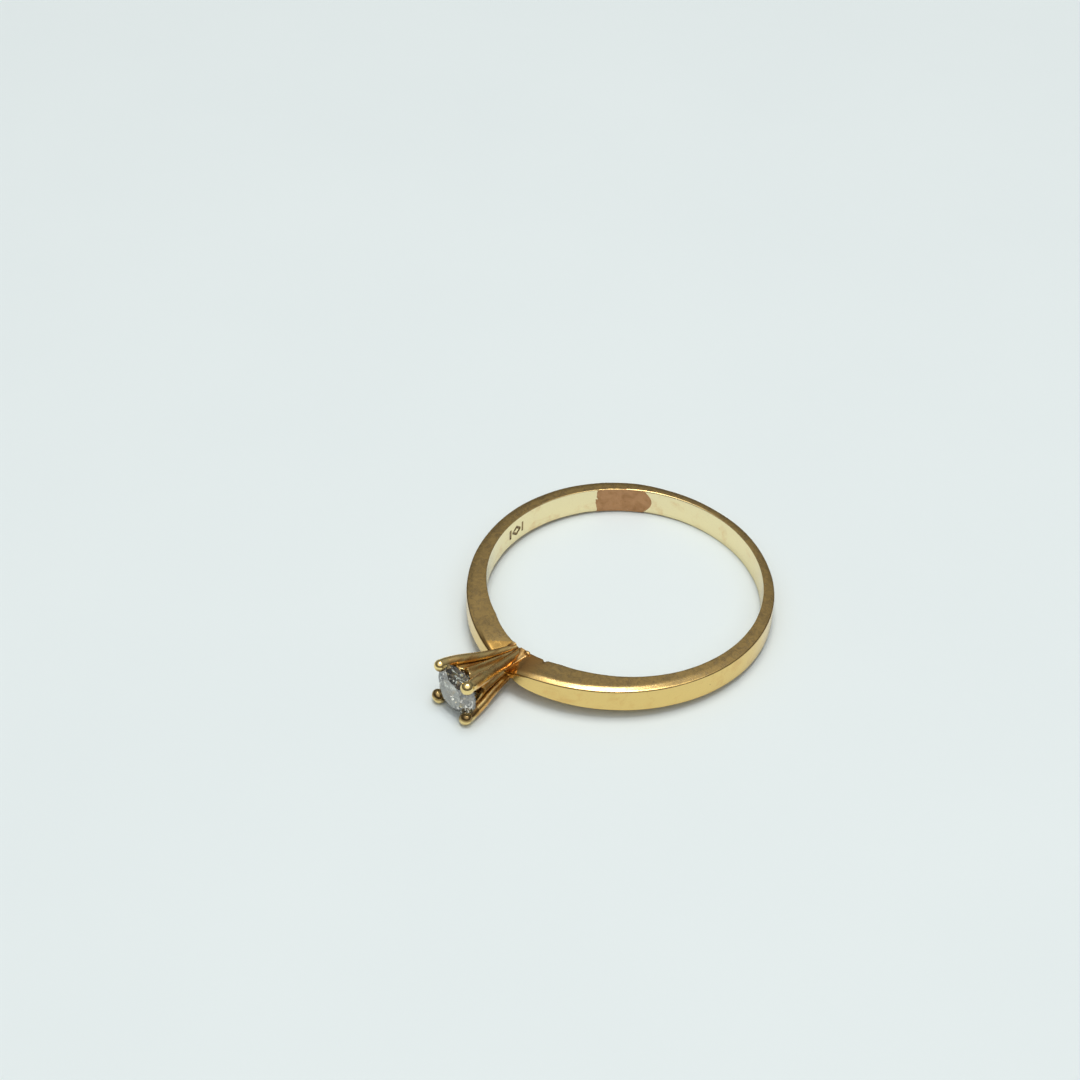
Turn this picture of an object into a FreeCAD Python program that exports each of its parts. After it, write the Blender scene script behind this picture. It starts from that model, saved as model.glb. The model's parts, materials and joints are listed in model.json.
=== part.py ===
"""Four-prong solitaire engagement ring with a tapering band, set with a round brilliant.

The ring lies flat: the origin is the centre of the finger hole, +Z runs along the hole and the
stone points along -Y. The left arm of the band is on the -X side of the head. Millimetres.
"""
import FreeCAD, Part
import Sketcher
import math
import os
from FreeCAD import Placement, Rotation, Vector

X_AXIS, Y_AXIS, Z_AXIS = Vector(1, 0, 0), Vector(0, 1, 0), Vector(0, 0, 1)

doc = FreeCAD.newDocument("engagement_ring")
sizes = doc.addObject("Spreadsheet::Sheet", "sizes")

# ---------------------------------------------------------------- driving dimensions

DRIVING = {
    "bore_radius": 8.65,  # finger size: 17.3 mm inside diameter
    "bore_stock": 0.35,  # metal left inside the band's sections for the bore to clear away
    "easing_radius": 6.0,  # the bore is eased into a flatter curve under the head
    "easing_depth": 0.25,
    "seam_angle": 134.0,  # sizing seam, from the head towards the left arm
    "seam_half_angle": 0.5,  # half the width of the soldered gap
    "film_span": 26.0,  # solder that ran along the bore beside the seam
    "film_depth": 0.05,
    "film_width": 2.0,
    "stamp_angle": 82.0,
    "stamp_length": 1.5,
    "stamp_height": 0.7,
    "stamp_depth": 0.04,
    "stamp_stock": 1.0,  # height of the striking tool, most of it in the open bore
    "head_lean": 2.5,  # the head leans towards +Z
    "foot_drop": 0.18,  # and its foot sits a little low in the band
    "notch_clearance": 0.10,  # solder joint between the head and the notch in the band
    "notch_height": 2.6,
    "notch_depth": 2.4,  # half its length across the band, so that it cuts right through
    "foot_stock": 0.5,  # metal left under the head's foot for the bore to clear away
    "foot_core": 0.12,  # foot outside the prongs' centre lines, along the band
    "web_stand": 0.05,  # web faces outside the prongs' centre lines
    "web_wall": 0.26,
    "floor_wall": 0.42,
    "web_floor": 2.1,  # bottom of the hollow under the stone
    "side_web_top": 3.9,  # bottom of the round gaps between prongs, towards the arms
    "upper_web_top": 4.42,  # and above and below the stone, where the webs reach higher
    "gap_radius": 0.55,
    "base_height": 4.7,
    "bead_radius": 0.40,
    "stone_height": 5.15,  # girdle plane above the bore wall
    "stone_radius": 1.66,
    "table_ratio": 0.57,
    "crown_height": 0.50,
    "pavilion_depth": 1.40,
    "girdle_thickness": 0.09,
    "star_length": 0.52,
    "lower_half_length": 0.76,
    "stone_turn": 11.25,
}
SEAM_START = DRIVING["seam_angle"] - DRIVING["seam_half_angle"]
SEAM_END = 360 - DRIVING["seam_angle"] - DRIVING["seam_half_angle"]
CUTTER_HEIGHT = 6.0
TIGHT = 1e-6  # tolerance for closing the stone's faces into one solid

# Band sections: degrees from the head, thickness, half width at the bore, at the crown line and
# at the outer ridge, and how far the crown line lies inside the ridge
RIGHT_BAND = [
    (1.4, 2.024, 0.627, 0.085, 0.035, 0.200),
    (8.0, 1.935, 0.688, 0.556, 0.272, 0.208),
    (18.0, 1.740, 0.765, 0.750, 0.610, 0.350),
    (32.0, 1.468, 0.845, 0.830, 0.725, 0.378),
    (47.0, 1.232, 0.895, 0.881, 0.777, 0.410),
    (62.0, 1.060, 0.910, 0.890, 0.800, 0.440),
    (77.0, 0.953, 0.915, 0.895, 0.822, 0.425),
    (92.0, 0.880, 0.915, 0.895, 0.830, 0.380),
    (107.0, 0.815, 0.915, 0.899, 0.838, 0.347),
    (122.0, 0.747, 0.915, 0.900, 0.840, 0.315),
    (137.0, 0.664, 0.915, 0.900, 0.840, 0.279),
    (152.0, 0.587, 0.915, 0.900, 0.840, 0.249),
    (167.0, 0.569, 0.915, 0.900, 0.840, 0.243),
    (182.0, 0.560, 0.915, 0.900, 0.840, 0.240),
    (197.0, 0.601, 0.915, 0.900, 0.840, 0.255),
    (211.0, 0.692, 0.915, 0.900, 0.840, 0.287),
    (SEAM_END, 0.800, 0.915, 0.900, 0.840, 0.320),
]
LEFT_BAND = [
    (1.4, 1.927, 0.616, 0.456, 0.276, 0.240),
    (9.0, 1.780, 0.695, 0.645, 0.470, 0.280),
    (19.0, 1.588, 0.769, 0.735, 0.630, 0.349),
    (32.0, 1.347, 0.846, 0.825, 0.735, 0.369),
    (47.0, 1.096, 0.901, 0.881, 0.784, 0.380),
    (62.0, 0.944, 0.913, 0.892, 0.811, 0.370),
    (77.0, 0.882, 0.915, 0.897, 0.824, 0.353),
    (92.0, 0.860, 0.915, 0.900, 0.830, 0.340),
    (106.0, 0.854, 0.915, 0.900, 0.838, 0.333),
    (120.0, 0.835, 0.915, 0.900, 0.840, 0.326),
    (SEAM_START, 0.800, 0.915, 0.900, 0.840, 0.320),
]
SECTION = ("angle", "thickness", "inner_half", "crown_half", "outer_half", "crown_drop")
# Head stations: height above the bore wall, prong centre along the band, across it, prong radius
HEAD = {
    "foot": (0.0, 0.19, 0.50, 0.23),
    "root": (1.0, 0.36, 0.54, 0.26),
    "waist": (2.1, 0.58, 0.67, 0.30),
    "web": (3.2, 0.81, 0.87, 0.34),
    "flare": (4.4, 1.07, 1.13, 0.385),
    "tip": (5.48, 1.24, 1.25, 0.39),
}

cell_row = 0


def cell(alias, value):
    """Write one driving dimension to the sheet under its alias."""
    global cell_row
    cell_row += 1
    sizes.set(f"A{cell_row}", alias)
    sizes.set(f"B{cell_row}", str(value))
    sizes.setAlias(f"B{cell_row}", alias)


for alias, value in DRIVING.items():
    cell(alias, value)
for side, stations in (("left", LEFT_BAND), ("right", RIGHT_BAND)):
    for number, station in enumerate(stations):
        for what, value in zip(SECTION, station):
            cell(f"{side}_{what}_{number}", value)
for level, station in HEAD.items():
    for what, value in zip(("level", "along", "across", "radius"), station):
        cell(f"{level}_{what}", value)
doc.recompute()


def size(alias):
    """A driving dimension as a number, for shapes made with Part's own functions."""
    return float(sizes.get(alias))


# ---------------------------------------------------------------- helpers


def bind(feature, **expressions):
    """Tie a feature's properties to the sheet; aliases are written as plain words."""
    for name, expression in expressions.items():
        feature.setExpression(name.replace("__", "."), expression)
    return feature


def origin_plane(body, role):
    return next(f for f in body.Origin.OriginFeatures if f.Role == role)


def new_sketch(body, name, role):
    sketch = body.newObject("Sketcher::SketchObject", name)
    sketch.AttachmentSupport = [(origin_plane(body, role), "")]
    sketch.MapMode = "FlatFace"
    return sketch


def tie(sketch, name, kind, places, value, expression):
    """Add one named dimension to a sketch and bind it to the sheet."""
    index = sketch.addConstraint(Sketcher.Constraint(kind, *places, value))
    sketch.renameConstraint(index, name)
    sketch.setExpression(f"Constraints.{name}", expression)


def closed_outline(sketch, corners):
    """Straight outline through the corners, each corner joined to the next line."""
    count = len(corners)
    for start, end in zip(corners, corners[1:] + corners[:1]):
        sketch.addGeometry(Part.LineSegment(Vector(*start, 0), Vector(*end, 0)), False)
    for line in range(count):
        sketch.addConstraint(Sketcher.Constraint("Coincident", line, 2, (line + 1) % count, 1))


def band_section(body, side, number):
    """One six-sided section of the band, on a plane through the finger axis."""
    angle, thickness, inner_half, crown_half, outer_half, crown_drop = (
        size(f"{side}_{what}_{number}") for what in SECTION
    )
    sign = -1 if side == "left" else 1
    near, far = size("bore_radius") - size("bore_stock"), size("bore_radius") + thickness
    crown = far - crown_drop
    sketch = new_sketch(body, f"{side}_section_{number}", "XZ_Plane")
    sketch.AttachmentOffset = Placement(Vector(), Rotation(Y_AXIS, sign * angle - 90))
    bind(sketch, AttachmentOffset__Rotation__Angle=f"{sign} * sizes.{side}_angle_{number} - 90")
    below = [(near, -inner_half), (crown, -crown_half), (far, -outer_half)]
    closed_outline(sketch, below + [(x, -y) for x, y in reversed(below)])
    for one, two in (((0, 1), (4, 2)), ((0, 2), (3, 2)), ((1, 2), (2, 2))):
        sketch.addConstraint(Sketcher.Constraint("Symmetric", *one, *two, -1))
    outer_radius = f"sizes.bore_radius + sizes.{side}_thickness_{number}"
    tie(sketch, "near", "DistanceX", (-1, 1, 0, 1), near, "sizes.bore_radius - sizes.bore_stock")
    tie(sketch, "crown", "DistanceX", (-1, 1, 0, 2), crown,
        f"{outer_radius} - sizes.{side}_crown_drop_{number}")
    tie(sketch, "far", "DistanceX", (-1, 1, 1, 2), far, outer_radius)
    for name, one, two, half in (
        ("inner", (0, 1), (4, 2), inner_half),
        ("crown", (0, 2), (3, 2), crown_half),
        ("outer", (1, 2), (2, 2), outer_half),
    ):
        tie(sketch, f"{name}_width", "DistanceY", (*one, *two), 2 * half,
            f"2 * sizes.{side}_{name}_half_{number}")
    return sketch


def loft(body, name, sketches, kind="PartDesign::AdditiveLoft", ruled=False):
    feature = body.newObject(kind, name)
    feature.Profile = (sketches[0], [""])
    feature.Sections = [(sketch, [""]) for sketch in sketches[1:]]
    feature.Ruled = ruled
    body.Tip = feature
    return feature


def rectangle_section(body, name, level, along, across):
    """A rectangle centred on the head's axis at one height; the sizes are sheet expressions."""
    sketch = new_sketch(body, name, "XY_Plane")
    bind(sketch, AttachmentOffset__Base__z=level)
    closed_outline(sketch, [(-1, -1), (1, -1), (1, 1), (-1, 1)])
    for line in (0, 2):
        sketch.addConstraint(Sketcher.Constraint("Horizontal", line))
    for line in (1, 3):
        sketch.addConstraint(Sketcher.Constraint("Vertical", line))
    sketch.addConstraint(Sketcher.Constraint("Symmetric", 0, 1, 2, 1, -1, 1))
    tie(sketch, "along", "DistanceX", (0, 1, 0, 2), 2.0, f"2 * ({along})")
    tie(sketch, "across", "DistanceY", (1, 1, 1, 2), 2.0, f"2 * ({across})")
    return sketch


def boolean(kind, name, base, tools):
    """Cut or Common of a base with one tool or with several tools fused."""
    if isinstance(tools, (list, tuple)):
        tools = fuse(f"{name}_tools", tools)
    feature = doc.addObject(f"Part::{kind}", name)
    feature.Base = base
    feature.Tool = tools
    return feature


def fuse(name, pieces):
    feature = doc.addObject("Part::MultiFuse", name)
    feature.Shapes = list(pieces)
    return feature


# ---------------------------------------------------------------- band


def bore_cutter():
    """Finger hole, eased outwards under the head by a second, flatter arc."""
    hole = doc.addObject("Part::Cylinder", "bore")
    easing = doc.addObject("Part::Cylinder", "bore_easing")
    for cylinder, radius in ((hole, "sizes.bore_radius"), (easing, "sizes.easing_radius")):
        cylinder.Height = CUTTER_HEIGHT
        cylinder.Placement.Base = Vector(0, 0, -CUTTER_HEIGHT / 2)
        bind(cylinder, Radius=radius)
    bind(
        easing,
        Placement__Base__y="sizes.easing_radius - sizes.easing_depth - sizes.bore_radius",
    )
    return fuse("bore_cutter", [hole, easing])


def band_blank(side, stations):
    """Tapering bar of one arm, before the bore, the seam and the head's notch are cut."""
    body = doc.addObject("PartDesign::Body", f"{side}_bar")
    loft(body, f"{side}_loft", [band_section(body, side, n) for n in range(len(stations))])
    return body


def seam_blank():
    """Slice of solder that fills the sizing seam, between the ends of the two arms."""
    body = doc.addObject("PartDesign::Body", "seam_slice")
    ends = (
        band_section(body, "left", len(LEFT_BAND) - 1),
        band_section(body, "right", len(RIGHT_BAND) - 1),
    )
    loft(body, "seam_loft", ends, ruled=True)
    return body


def film_blank():
    """Thin skin of solder let into the bore on both sides of the seam."""
    film = doc.addObject("Part::Cylinder", "film")
    bind(
        film,
        Radius="sizes.bore_radius + sizes.film_depth",
        Height="sizes.film_width",
        Angle="sizes.film_span",
        Placement__Base__z="-sizes.film_width / 2",
        Placement__Rotation__Angle="270 - sizes.seam_angle - sizes.film_span / 2",
    )
    return film


def stamp_recess():
    """Shallow oblong struck into the bore wall of the left arm for a plain mark."""
    stamp = doc.addObject("Part::Box", "stamp")
    bind(
        stamp,
        Length="sizes.stamp_stock",
        Width="sizes.stamp_length",
        Height="sizes.stamp_height",
    )
    turn = 270 - size("stamp_angle")
    inward = Rotation(Z_AXIS, turn)
    reach = size("bore_radius") + size("stamp_depth") - size("stamp_stock")
    corner = Vector(reach, -size("stamp_length") / 2, -size("stamp_height") / 2)
    stamp.Placement = Placement(inward.multVec(corner), inward)
    return stamp


# ---------------------------------------------------------------- head


def place_head(feature):
    """Stand a piece made along +Z on the bore wall, pointing along -Y with the head's lean."""
    feature.Placement = Placement(Vector(0, -1, 0), Rotation(X_AXIS, 90))
    bind(
        feature,
        Placement__Base__y="-sizes.bore_radius",
        Placement__Base__z="-sizes.foot_drop",
        Placement__Rotation__Angle="90 - sizes.head_lean",
    )
    return feature


def web_size(level, inset="0"):
    """Half sizes of the web's outline at one of the head's levels, as sheet expressions."""
    return (
        f"sizes.{level}_along + sizes.web_stand - {inset}",
        f"sizes.{level}_across + sizes.web_stand - {inset}",
    )


def base_blank():
    """Four-sided flaring foot of the head, hollow under the stone."""
    body = doc.addObject("PartDesign::Body", "base_flare")
    foot = ("sizes.foot_along + sizes.foot_core", "sizes.foot_across + sizes.foot_radius")
    levels = [
        rectangle_section(body, "below_foot", "-sizes.foot_stock", *foot),
        rectangle_section(body, "foot_section", "sizes.foot_level", *foot),
    ]
    for level in ("root", "waist", "web"):
        levels.append(
            rectangle_section(body, f"{level}_section", f"sizes.{level}_level", *web_size(level))
        )
    levels.append(
        rectangle_section(body, "rim_section", "sizes.base_height", *web_size("flare"))
    )
    loft(body, "flare_loft", levels, ruled=True)
    floor = rectangle_section(
        body, "floor_section", "sizes.web_floor", *web_size("waist", "sizes.floor_wall")
    )
    rim = rectangle_section(
        body, "hollow_rim", "sizes.base_height + 0.01", *web_size("flare", "sizes.web_wall")
    )
    loft(body, "hollow", [floor, rim], "PartDesign::SubtractiveLoft", ruled=True)
    return body


def notch_cutter():
    """V-shaped notch that the head is let into, as deep as the whole band."""
    body = doc.addObject("PartDesign::Body", "notch")
    depth = "sizes.notch_depth"
    foot = "sizes.foot_along + sizes.foot_core + sizes.notch_clearance"
    sections = [
        rectangle_section(body, "notch_below", "-sizes.foot_stock", foot, depth),
        rectangle_section(body, "notch_foot", "sizes.foot_level", foot, depth),
    ]
    for level in ("root", "waist"):
        reach = f"sizes.{level}_along + sizes.{level}_radius + sizes.notch_clearance"
        sections.append(
            rectangle_section(body, f"notch_{level}", f"sizes.{level}_level", reach, depth)
        )
    sections.append(
        rectangle_section(
            body, "notch_top", "sizes.notch_height", f"{reach} + sizes.notch_clearance", depth
        )
    )
    loft(body, "notch_loft", sections, ruled=True)
    return place_head(body)


def gap_cutter(name, plane, web_top):
    """Round-bottomed gap through two opposite webs, open at the top."""
    body = doc.addObject("PartDesign::Body", name)
    sketch = new_sketch(body, f"{name}_outline", plane)
    radius, bottom, top = size("gap_radius"), size(web_top), size("base_height") + 1
    centre = bottom + radius
    sketch.addGeometry(Part.LineSegment(Vector(radius, centre, 0), Vector(radius, top, 0)), False)
    sketch.addGeometry(Part.LineSegment(Vector(radius, top, 0), Vector(-radius, top, 0)), False)
    sketch.addGeometry(Part.LineSegment(Vector(-radius, top, 0), Vector(-radius, centre, 0)), False)
    circle = Part.Circle(Vector(0, centre, 0), Z_AXIS, radius)
    sketch.addGeometry(Part.ArcOfCircle(circle, math.pi, 2 * math.pi), False)
    for one, other in ((0, 1), (1, 2)):
        sketch.addConstraint(Sketcher.Constraint("Coincident", one, 2, other, 1))
    for line, end, arc_end in ((2, 2, 1), (0, 1, 2)):
        sketch.addConstraint(Sketcher.Constraint("Vertical", line))
        sketch.addConstraint(Sketcher.Constraint("Tangent", line, end, 3, arc_end))
    sketch.addConstraint(Sketcher.Constraint("Symmetric", 1, 1, 1, 2, -2))
    tie(sketch, "gap_radius", "Radius", (3,), radius, "sizes.gap_radius")
    tie(sketch, "gap_centre", "DistanceY", (-1, 1, 3, 3), centre,
        f"sizes.{web_top} + sizes.gap_radius")
    tie(sketch, "gap_top", "DistanceY", (-1, 1, 1, 1), top, "sizes.base_height + 1")
    pad = body.newObject("PartDesign::Pad", f"{name}_pad")
    pad.Profile = sketch
    pad.Length = CUTTER_HEIGHT
    pad.Midplane = True
    body.Tip = pad
    return body


def prong_blank():
    """One flaring prong with its round tip, before the stone's seat is cut."""
    body = doc.addObject("PartDesign::Body", "prong_rod")
    circles = []
    for level in ("root", "waist", "web", "flare", "tip"):
        sketch = new_sketch(body, f"{level}_circle", "XY_Plane")
        bind(sketch, AttachmentOffset__Base__z=f"sizes.{level}_level")
        along, across, radius = (size(f"{level}_{w}") for w in ("along", "across", "radius"))
        sketch.addGeometry(Part.Circle(Vector(along, across, 0), Z_AXIS, radius), False)
        tie(sketch, "along", "DistanceX", (-1, 1, 0, 3), along, f"sizes.{level}_along")
        tie(sketch, "across", "DistanceY", (-1, 1, 0, 3), across, f"sizes.{level}_across")
        tie(sketch, "radius", "Radius", (0,), radius, f"sizes.{level}_radius")
        circles.append(sketch)
    loft(body, "rod_loft", circles)
    bead = doc.addObject("Part::Sphere", "prong_bead")
    bind(
        bead,
        Radius="sizes.bead_radius",
        Placement__Base__x="sizes.tip_along",
        Placement__Base__y="sizes.tip_across",
        Placement__Base__z="sizes.tip_level",
    )
    return fuse("prong_blank", [body, bead])


def mirrored(name, source, normal):
    feature = doc.addObject("Part::Mirroring", name)
    feature.Source = source
    feature.Base = Vector()
    feature.Normal = normal
    return feature


# ---------------------------------------------------------------- stone


def ring_points(count, radius, height, turn=0.0):
    """Points evenly spaced on a circle about the stone's axis."""
    step = 2 * math.pi / count
    return [
        Vector(radius * math.cos((k + turn) * step), radius * math.sin((k + turn) * step), height)
        for k in range(count)
    ]


def brilliant():
    """Round brilliant: table, 8 stars, 8 kites, 16 upper and 16 lower halves, 8 mains, girdle."""
    radius, half_girdle = size("stone_radius"), size("girdle_thickness") / 2
    top, bottom = half_girdle + size("crown_height"), -half_girdle - size("pavilion_depth")
    table = radius * size("table_ratio")
    turn = math.cos(math.pi / 8)
    # star points lie on the planes of the kites, lower points on the planes of the mains
    star = (table + size("star_length") * (radius - table)) / turn
    star_height = top - (star * turn - table) * (top - half_girdle) / (radius - table)
    low = radius * (1 - size("lower_half_length"))
    low_height = bottom + low * turn * (-half_girdle - bottom) / radius
    tables = ring_points(8, table, top)
    stars = ring_points(8, star, star_height, 0.5)
    upper = ring_points(16, radius, half_girdle)
    lower = ring_points(16, radius, -half_girdle)
    lows = ring_points(8, low, low_height, 0.5)
    culet = Vector(0, 0, bottom)
    outlines = [tables]
    for k in range(8):
        nxt, edge, mid, after = (k + 1) % 8, 2 * k, 2 * k + 1, (2 * k + 2) % 16
        outlines += [
            [tables[k], stars[k], tables[nxt]],
            [tables[k], stars[k - 1], upper[edge], stars[k]],
            [stars[k], upper[edge], upper[mid]],
            [stars[k], upper[mid], upper[after]],
            [upper[edge], lower[edge], lower[mid], upper[mid]],
            [upper[mid], lower[mid], lower[after], upper[after]],
            [lows[k], lower[mid], lower[edge]],
            [lows[k], lower[after], lower[mid]],
            [culet, lows[k], lower[edge], lows[k - 1]],
        ]
    faces = [Part.Face(Part.makePolygon(outline + outline[:1])) for outline in outlines]
    solid = Part.Solid(Part.Shell(faces))
    solid.fix(TIGHT, TIGHT, TIGHT)
    return solid if solid.Volume > 0 else solid.reversed()


def head_placement():
    """Where the head's own axis and foot sit in the ring."""
    foot = Vector(0, -size("bore_radius"), -size("foot_drop"))
    return Placement(foot, Rotation(X_AXIS, 90 - size("head_lean")))


def stone_form():
    """The brilliant in the head's own frame, turned so that no two prongs grip alike."""
    form = doc.addObject("Part::Feature", "stone_form")
    form.Shape = brilliant()
    turn = Rotation(Z_AXIS, size("stone_turn"))
    form.Placement = Placement(Vector(0, 0, size("stone_height")), turn)
    return form


def build_head():
    """Prongs, fluted base and stone, made along +Z and then stood on the bore wall."""
    form = stone_form()
    blanks = {"upper_right": prong_blank()}
    blanks["upper_left"] = mirrored("blank_upper_left", blanks["upper_right"], X_AXIS)
    blanks["lower_right"] = mirrored("blank_lower_right", blanks["upper_right"], Y_AXIS)
    blanks["lower_left"] = mirrored("blank_lower_left", blanks["upper_left"], Y_AXIS)
    gaps = [
        gap_cutter("upper_gap", "XZ_Plane", "upper_web_top"),
        gap_cutter("side_gap", "YZ_Plane", "side_web_top"),
    ]
    head = {}
    for corner, blank in blanks.items():
        name = f"prong_{corner}"
        head[name] = place_head(boolean("Cut", name, blank, form))
    flare = boolean("Cut", "standing_base", base_blank(), gaps + list(blanks.values()) + [form])
    head["head_base"] = boolean("Cut", "head_base", place_head(flare), bore)
    head["diamond"] = doc.addObject("Part::Feature", "diamond")
    head["diamond"].Shape = form.Shape
    head["diamond"].Placement = head_placement() * form.Placement
    return head


def build_band():
    """Two arms that meet at the sizing seam, and the solder that fills it."""
    bars = {
        "left": band_blank("left", LEFT_BAND),
        "right": band_blank("right", RIGHT_BAND),
    }
    film, notch, seam = film_blank(), notch_cutter(), seam_blank()
    stamp = stamp_recess()
    band = {}
    for side, bar in bars.items():
        name = f"shank_{side}_arm"
        band[name] = boolean("Cut", name, bar, [bore, film, notch, stamp])
    skin = boolean("Common", "film_skin", film, [*bars.values(), seam])
    band["sizing_solder"] = boolean(
        "Cut", "sizing_solder", fuse("seam_and_film", [seam, skin]), bore
    )
    joint = boolean("Common", "joint_fill", fuse("whole_band", bars.values()), notch)
    return band, joint


def split_joint(joint, metal):
    """Solder left between the head and the notch, as one piece on each side of the head."""
    joint = boolean("Cut", "head_joint", joint, metal + [bore])
    west = doc.addObject("Part::Box", "west_half")
    reach = size("notch_height")  # the notch is nowhere wider, higher or deeper than this
    west.Length, west.Width, west.Height = reach, 2 * reach, 2 * reach
    west.Placement.Base = Vector(-reach, -size("bore_radius") - 3 * reach / 2, -reach)
    return {
        "head_solder_left": boolean("Common", "head_solder_left", joint, west),
        "head_solder_right": boolean("Cut", "head_solder_right", joint, west),
    }


def check(pieces):
    """Stop if any object failed to build or any piece isn't one sound solid."""
    failed = [o.Name for o in doc.Objects if {"Invalid", "Error"} & set(o.State)]
    if failed:
        raise RuntimeError(f"these objects failed: {failed}")
    for name, piece in pieces.items():
        shape = piece.Shape
        if shape.isNull() or not shape.isValid() or len(shape.Solids) != 1:
            raise RuntimeError(f"{name} is not one sound solid")


# ---------------------------------------------------------------- assembly

bore = bore_cutter()
head = build_head()
band, joint = build_band()
pieces = {**band, **head}
pieces.update(split_joint(joint, list(head.values())))
for name, piece in pieces.items():
    piece.Label = name

doc.recompute()
check(pieces)
os.makedirs("parts", exist_ok=True)
for name, piece in pieces.items():
    piece.Shape.exportStep(f"parts/{name}.step")
    print(name, round(piece.Shape.Volume, 3))
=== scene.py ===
"""Looks of the solitaire engagement ring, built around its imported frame.

The meshes are made in millimetres in the ring's own frame, then scaled to metres: the origin is
the centre of the finger hole, +Z runs along the hole and the stone points along -Y. An angle
along the band is counted in degrees from the head, positive on the +X side.
"""
import json
import math

import bmesh
import bpy
from mathutils import Matrix, Vector, noise


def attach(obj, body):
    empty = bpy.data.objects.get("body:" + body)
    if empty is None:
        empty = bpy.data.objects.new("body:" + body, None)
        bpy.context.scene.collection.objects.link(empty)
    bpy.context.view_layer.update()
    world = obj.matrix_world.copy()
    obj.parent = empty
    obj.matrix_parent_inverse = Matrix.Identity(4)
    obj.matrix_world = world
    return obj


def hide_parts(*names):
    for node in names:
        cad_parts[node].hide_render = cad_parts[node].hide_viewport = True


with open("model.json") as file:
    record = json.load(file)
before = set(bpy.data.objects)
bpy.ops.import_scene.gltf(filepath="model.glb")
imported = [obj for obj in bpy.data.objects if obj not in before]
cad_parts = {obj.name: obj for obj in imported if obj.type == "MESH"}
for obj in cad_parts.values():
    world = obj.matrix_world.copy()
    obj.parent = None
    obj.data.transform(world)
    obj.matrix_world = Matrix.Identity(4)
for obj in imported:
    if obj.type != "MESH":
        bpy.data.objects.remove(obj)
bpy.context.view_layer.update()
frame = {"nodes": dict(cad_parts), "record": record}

MM = 0.001
BORE = frame["record"]["mounts"][0]["dims"]["r_mm"]

# Band sections: degrees from the head, thickness, half width at the bore, at the crown line and
# at the outer ridge, and how far the crown line lies inside the ridge
RIGHT_BAND = [
    (0.0, 2.03, 0.620, 0.08, 0.03, 0.20),
    (4.5, 1.99, 0.660, 0.13, 0.07, 0.14),
    (6.5, 1.96, 0.675, 0.32, 0.20, 0.20),
    (8.3, 1.93, 0.690, 0.50, 0.35, 0.24),
    (10.5, 1.90, 0.705, 0.61, 0.46, 0.28),
    (14.0, 1.83, 0.735, 0.70, 0.56, 0.33),
    (18.0, 1.74, 0.765, 0.75, 0.61, 0.35),
    (22.0, 1.66, 0.785, 0.77, 0.65, 0.36),
    (33.0, 1.45, 0.850, 0.835, 0.73, 0.38),
    (42.0, 1.30, 0.880, 0.865, 0.76, 0.40),
    (52.0, 1.17, 0.905, 0.890, 0.79, 0.42),
    (62.0, 1.06, 0.910, 0.890, 0.80, 0.44),
    (74.0, 0.97, 0.915, 0.895, 0.82, 0.43),
    (92.0, 0.88, 0.915, 0.895, 0.83, 0.38),
    (115.0, 0.78, 0.915, 0.900, 0.84, 0.33),
    (133.0, 0.69, 0.915, 0.900, 0.84, 0.29),
    (150.0, 0.59, 0.915, 0.900, 0.84, 0.25),
    (185.0, 0.56, 0.915, 0.900, 0.84, 0.24),
    (208.0, 0.67, 0.915, 0.900, 0.84, 0.28),
    (226.0, 0.80, 0.915, 0.900, 0.84, 0.32),
]
LEFT_BAND = [
    (0.0, 1.94, 0.610, 0.44, 0.32, 0.20),
    (4.5, 1.86, 0.650, 0.54, 0.42, 0.20),
    (9.0, 1.78, 0.695, 0.645, 0.51, 0.24),
    (14.0, 1.68, 0.735, 0.71, 0.57, 0.34),
    (20.0, 1.57, 0.775, 0.74, 0.64, 0.35),
    (33.0, 1.33, 0.850, 0.83, 0.74, 0.37),
    (50.0, 1.06, 0.905, 0.885, 0.79, 0.38),
    (70.0, 0.90, 0.915, 0.895, 0.82, 0.36),
    (92.0, 0.86, 0.915, 0.900, 0.83, 0.34),
    (113.0, 0.85, 0.915, 0.900, 0.84, 0.33),
    (134.0, 0.80, 0.915, 0.900, 0.84, 0.32),
]
SEAM = -134.0  # where the band was cut and closed again
SEAM_RIGHT = 360 + SEAM
ARM_START, SEAM_GAP = 1.2, 0.4  # degrees from the head's middle, and short of the seam
FINE_STRETCHES = [(-16, 16, 0.3), (-88, -76, 0.2)]  # beside the head and around the mark
EASING_RADIUS, EASING_DEPTH, EASING_END = 6.0, 0.25, 60  # the bore is flatter under the head
RIM_ROUNDING, CROWN_ROUNDING, RIDGE_ROUNDING = 0.06, 0.10, 0.075
SEAM_ROUNDING, SEAM_ROUND_SPAN, SEAM_ROUND_FADE = 0.06, 20, 35  # worn rounder near the seam
NICK_ANGLE, NICK_HEIGHT = 13.3, 0.72  # on the edge of the right shoulder

# Struck mark in the bore: a lozenge frame between two bars
STAMP, STAMP_SPAN, STAMP_DEPTH = -80.5, 6, 0.05
LOZENGE_HALF_LENGTH, LOZENGE_HALF_HEIGHT, LOZENGE_OPENING = 0.44, 0.38, 0.55
BAR_PLACE, BAR_HALF_LENGTH, BAR_HALF_HEIGHT = 0.58, 0.075, 0.34

# Film of solder along the bore beside the seam: its edge is hidden in the band, a little behind
# the wall, and its face rises from there
FILM_START, FILM_END, FILM_HALF_HEIGHT = SEAM - 14.0, SEAM + 17.0, 0.90
FILM_BACK, FILM_RISE, FILM_SHELL = 0.040, 0.050, 0.04
MM_PER_DEGREE = 0.151  # along the bore

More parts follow.
